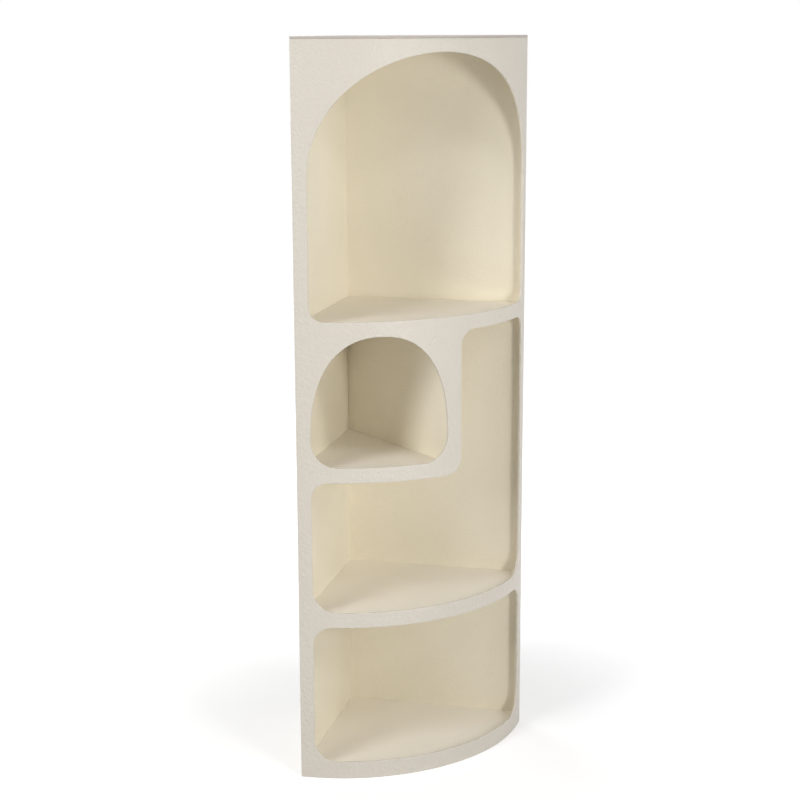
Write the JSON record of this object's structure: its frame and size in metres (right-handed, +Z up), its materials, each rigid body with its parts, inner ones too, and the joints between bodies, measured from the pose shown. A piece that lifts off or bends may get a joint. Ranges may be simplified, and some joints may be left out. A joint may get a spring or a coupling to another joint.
{
  "type": "corner shelf unit",
  "caption": "Tall quarter-round corner shelf unit of textured plastic sheet, with a curved front cut by an arch, a small rounded niche, an L-shaped opening and a low wide opening.",
  "frame": {"origin": "bottom centre of the unit's box, on the floor", "axes": "+Z up; the square back corner is at -X +Y, the left back wall lies on the -X side, the right back wall on the +Y side, and the curved front faces +X -Y"},
  "size_m": [0.4, 0.4, 1.535],
  "materials": {
    "textured_plastic": "cream, finely pebbled, low sheen"
  },
  "bodies": {
    "root": {"front_skin": "textured_plastic", "left_back_wall": "textured_plastic", "right_back_wall": "textured_plastic", "top_panel": "textured_plastic", "upper_shelf": "textured_plastic", "niche_partition": "textured_plastic", "niche_floor": "textured_plastic", "lower_shelf": "textured_plastic", "base_panel": "textured_plastic"}
  },
  "joints": []
}
